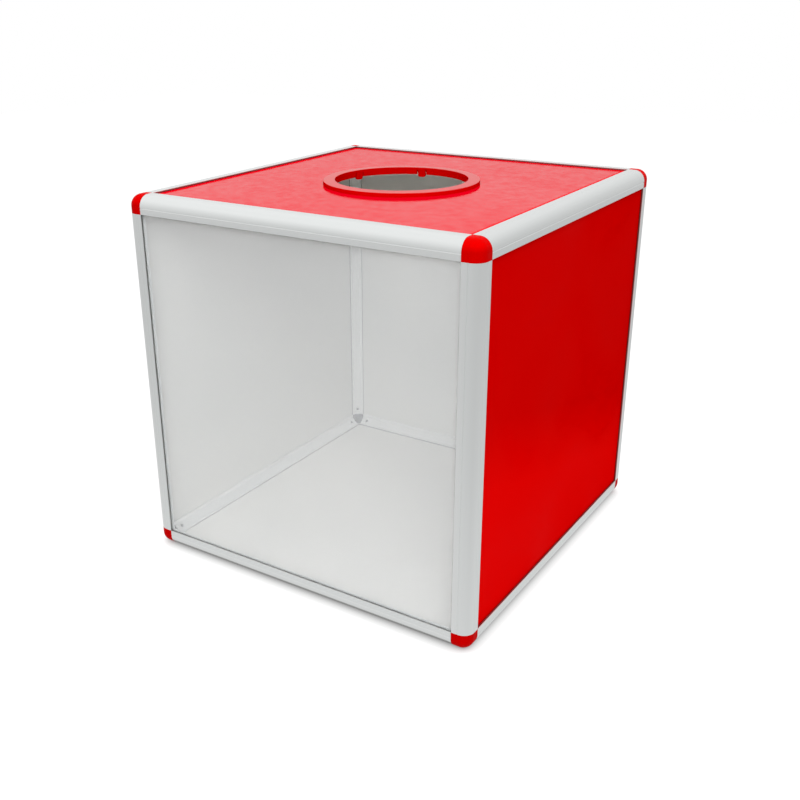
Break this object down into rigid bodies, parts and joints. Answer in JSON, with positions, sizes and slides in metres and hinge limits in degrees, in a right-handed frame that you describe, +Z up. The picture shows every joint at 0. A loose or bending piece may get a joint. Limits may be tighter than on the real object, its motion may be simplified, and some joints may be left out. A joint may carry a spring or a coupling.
{
  "type": "raffle box",
  "caption": "Cube-shaped draw box with an aluminium edge frame, red panels, a clear front window and a round collared hand hole in the top.",
  "frame": {"origin": "centre of the footprint, on the surface that the box stands on", "axes": "+Z up, through the hand hole; the clear window faces -Y; +X to the right of someone facing the window"},
  "size_m": [0.3, 0.305, 0.3008],
  "materials": {
    "edge_aluminium": "satin anodised",
    "cap_red": "moulded, satin gloss",
    "connector_grey": "moulded",
    "screw_steel": "zinc plated",
    "board_grey": "light grey foamed sheet, fine grain",
    "skin_red": "glossy laminate with a fine mottle",
    "window_clear": "clear acrylic, polished",
    "collar_red": "moulded, satin"
  },
  "bodies": {
    "box": {"rail_bottom_front": "edge_aluminium", "rail_bottom_back": "edge_aluminium", "rail_bottom_left": "edge_aluminium", "rail_bottom_right": "edge_aluminium", "rail_top_front": "edge_aluminium", "rail_top_back": "edge_aluminium", "rail_top_left": "edge_aluminium", "rail_top_right": "edge_aluminium", "post_front_left": "edge_aluminium", "post_front_right": "edge_aluminium", "post_back_left": "edge_aluminium", "post_back_right": "edge_aluminium", "corner_cap_bottom_front_left": "cap_red", "connector_bottom_front_left": "connector_grey", "corner_cap_bottom_front_right": "cap_red", "connector_bottom_front_right": "connector_grey", "corner_cap_bottom_back_left": "cap_red", "connector_bottom_back_left": "connector_grey", "corner_cap_bottom_back_right": "cap_red", "connector_bottom_back_right": "connector_grey", "corner_cap_top_front_left": "cap_red", "connector_top_front_left": "connector_grey", "corner_cap_top_front_right": "cap_red", "connector_top_front_right": "connector_grey", "corner_cap_top_back_left": "cap_red", "connector_top_back_left": "connector_grey", "corner_cap_top_back_right": "cap_red", "connector_top_back_right": "connector_grey", "connector_screws": "screw_steel", "left_board": "board_grey", "left_skin": "skin_red", "right_board": "board_grey", "right_skin": "skin_red", "back_board": "board_grey", "back_skin": "skin_red", "bottom_board": "board_grey", "bottom_skin": "skin_red", "top_board": "board_grey", "top_skin": "skin_red", "front_window": "window_clear"},
    "collar": {"hand_collar": "collar_red"}
  },
  "joints": [
    {"name": "collar_lift", "type": "slide", "parent": "box", "child": "collar", "axis": [0, 0, 1], "range_m": [0, 0.06]}
  ]
}
